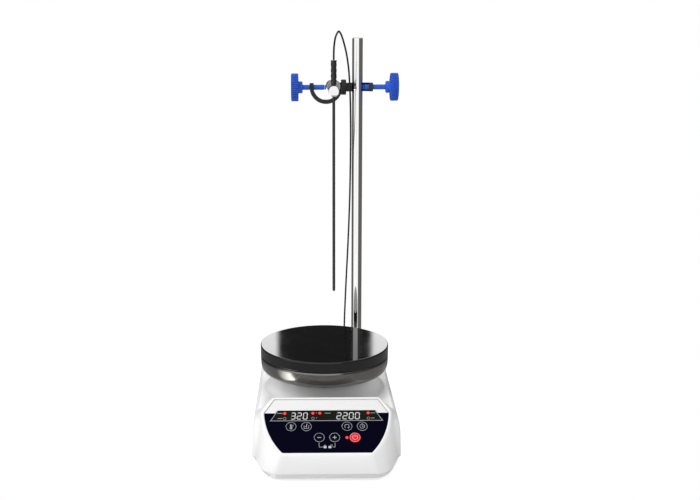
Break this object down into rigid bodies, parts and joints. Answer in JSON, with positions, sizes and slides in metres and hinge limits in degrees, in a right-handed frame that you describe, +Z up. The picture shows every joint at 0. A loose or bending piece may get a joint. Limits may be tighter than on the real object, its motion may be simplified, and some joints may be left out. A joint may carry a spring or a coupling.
{
  "type": "magnetic stirrer",
  "caption": "Heated magnetic stirrer: round black plate on a white housing with a sloping keypad, support rod with double clamp, and temperature probe on a cable.",
  "frame": {"origin": "centre of the work plate's top face, on the stirring axis, 95 mm above the bench", "axes": "+Z up along the stirring axis, -Y towards the operator and the control panel, +X to the operator's right"},
  "size_m": [0.1616, 0.2977, 0.4284],
  "materials": {
    "body_white": "satin-gloss moulded plastic",
    "plate_black": "gloss black ceramic coat",
    "polished_steel": "polished stainless steel",
    "chrome": "bright chrome",
    "black_clamp": "satin black",
    "black_plastic": "fine moulded texture",
    "blue_plastic": "satin",
    "navy_film": "printed film, white upper band",
    "red_key": "printed film",
    "rubber": "matt",
    "smoke_window": "smoked clear",
    "led_module": "filled segments",
    "board": "solder resist",
    "magnet": "nickel plate",
    "aluminium": "milled",
    "insulation": "pressed fibre",
    "zinc_steel": "zinc plate",
    "probe_black": "black coat"
  },
  "bodies": {
    "housing": {"upper_housing": "body_white", "base_cover": "body_white", "panel_overlay": "navy_film", "display_window": "smoke_window", "led_digits_temperature": "led_module", "led_digits_speed": "led_module", "display_board": "board", "main_board": "board", "power_transformer": "black_plastic", "heatsink": "aluminium", "stirrer_motor": "zinc_steel", "motor_bracket": "zinc_steel", "work_plate": "plate_black", "steel_ring": "polished_steel", "heating_element": "polished_steel", "insulation_disc": "insulation", "plate_sensor": "polished_steel", "mains_inlet": "black_plastic", "probe_socket": "black_plastic", "probe_plug": "black_plastic", "probe_cable": "rubber", "rod_socket": "zinc_steel", "foot_fl": "rubber", "base_screw_fl": "zinc_steel", "foot_fr": "rubber", "base_screw_fr": "zinc_steel", "foot_rl": "rubber", "base_screw_rl": "zinc_steel", "foot_rr": "rubber", "base_screw_rr": "zinc_steel", "plate_standoff_1": "polished_steel", "plate_standoff_2": "polished_steel", "plate_standoff_3": "polished_steel"},
    "rotor": {"motor_shaft": "polished_steel", "magnet_carrier": "aluminium", "drive_magnet_a": "magnet", "drive_magnet_b": "magnet"},
    "rocker": {"power_rocker": "black_plastic"},
    "fuse": {"fuse_drawer": "black_plastic"},
    "rod": {"support_rod": "chrome"},
    "rod_clamp": {"rod_hook": "black_clamp", "swivel_disc": "black_clamp"},
    "rod_tip": {"rod_screw_tip": "polished_steel"},
    "rod_knob": {"rod_thumbscrew": "blue_plastic"},
    "arm_clamp": {"arm_hook": "black_clamp"},
    "arm_tip": {"arm_screw_tip": "polished_steel"},
    "arm_knob": {"arm_thumbscrew": "blue_plastic"},
    "arm": {"probe_arm": "chrome"},
    "lock_screw": {"probe_lock_screw": "chrome"},
    "probe": {"probe_sheath": "probe_black", "probe_grip": "rubber"},
    "key_temperature": {"key_temperature": "navy_film"},
    "key_probe": {"key_probe": "navy_film"},
    "key_speed": {"key_speed": "navy_film"},
    "key_timer": {"key_timer": "navy_film"},
    "key_minus": {"key_minus": "navy_film"},
    "key_plus": {"key_plus": "navy_film"},
    "key_start_stop": {"key_start_stop": "red_key"}
  },
  "joints": [
    {"name": "rotor_spin", "type": "hinge", "parent": "housing", "child": "rotor", "pos_m": [0, 0, -0.035], "axis": [0, 0, 1], "continuous": true},
    {"name": "key_temperature_press", "type": "slide", "parent": "housing", "child": "key_temperature", "axis": [0, 0.5736, -0.8192], "range_m": [0, 0.0005]},
    {"name": "key_probe_press", "type": "slide", "parent": "housing", "child": "key_probe", "axis": [0, 0.5736, -0.8192], "range_m": [0, 0.0005]},
    {"name": "key_speed_press", "type": "slide", "parent": "housing", "child": "key_speed", "axis": [0, 0.5736, -0.8192], "range_m": [0, 0.0005]},
    {"name": "key_timer_press", "type": "slide", "parent": "housing", "child": "key_timer", "axis": [0, 0.5736, -0.8192], "range_m": [0, 0.0005]},
    {"name": "key_minus_press", "type": "slide", "parent": "housing", "child": "key_minus", "axis": [0, 0.5736, -0.8192], "range_m": [0, 0.0005]},
    {"name": "key_plus_press", "type": "slide", "parent": "housing", "child": "key_plus", "axis": [0, 0.5736, -0.8192], "range_m": [0, 0.0005]},
    {"name": "key_start_stop_press", "type": "slide", "parent": "housing", "child": "key_start_stop", "axis": [0, 0.5736, -0.8192], "range_m": [0, 0.0005]},
    {"name": "rocker_tilt", "type": "hinge", "parent": "housing", "child": "rocker", "pos_m": [-0.004, 0.112, -0.067], "axis": [1, 0, 0], "range_deg": [-16, 0]},
    {"name": "fuse_drawer_slide", "type": "slide", "parent": "housing", "child": "fuse", "axis": [0, 1, 0], "range_m": [0, 0.018]},
    {"name": "rod_swing", "type": "hinge", "parent": "housing", "child": "rod", "pos_m": [0.04, 0.097, 0.105], "axis": [0, 0, 1], "range_deg": [-60, 60]},
    {"name": "clamp_height", "type": "slide", "parent": "rod", "child": "rod_clamp", "axis": [0, 0, 1], "range_m": [-0.045, 0.045], "deforming": ["probe_cable"]},
    {"name": "rod_screw_travel", "type": "slide", "parent": "rod_clamp", "child": "rod_tip", "axis": [1, 0, 0], "range_m": [0, 0.0061]},
    {"name": "rod_knob_turn", "type": "hinge", "parent": "rod_tip", "child": "rod_knob", "pos_m": [0.06, 0.097, 0.273], "axis": [1, 0, 0], "range_deg": [0, 1440]},
    {"name": "head_swivel", "type": "hinge", "parent": "rod_clamp", "child": "arm_clamp", "pos_m": [0.02, 0.097, 0.273], "axis": [1, 0, 0], "range_deg": [-30, 5]},
    {"name": "arm_screw_travel", "type": "slide", "parent": "arm_clamp", "child": "arm_tip", "axis": [-1, 0, 0], "range_m": [0, 0.0061]},
    {"name": "arm_knob_turn", "type": "hinge", "parent": "arm_tip", "child": "arm_knob", "pos_m": [-0.02, 0.097, 0.273], "axis": [-1, 0, 0], "range_deg": [0, 1440]},
    {"name": "arm_slide", "type": "slide", "parent": "arm_clamp", "child": "arm", "axis": [0, 1, 0], "range_m": [-0.006, 0.06]},
    {"name": "lock_screw_turn", "type": "hinge", "parent": "arm", "child": "lock_screw", "pos_m": [0.0104, -0.005, 0.2708], "axis": [0, -1, 0], "range_deg": [0, 360]},
    {"name": "probe_slide", "type": "slide", "parent": "arm", "child": "probe", "axis": [0, 0, 1], "range_m": [0, 0.04]}
  ],
  "couplings": [
    {"joint": "rod_screw_travel", "follows": "rod_knob_turn", "m_per_rad": 0.00023873},
    {"joint": "arm_screw_travel", "follows": "arm_knob_turn", "m_per_rad": 0.00023873}
  ]
}
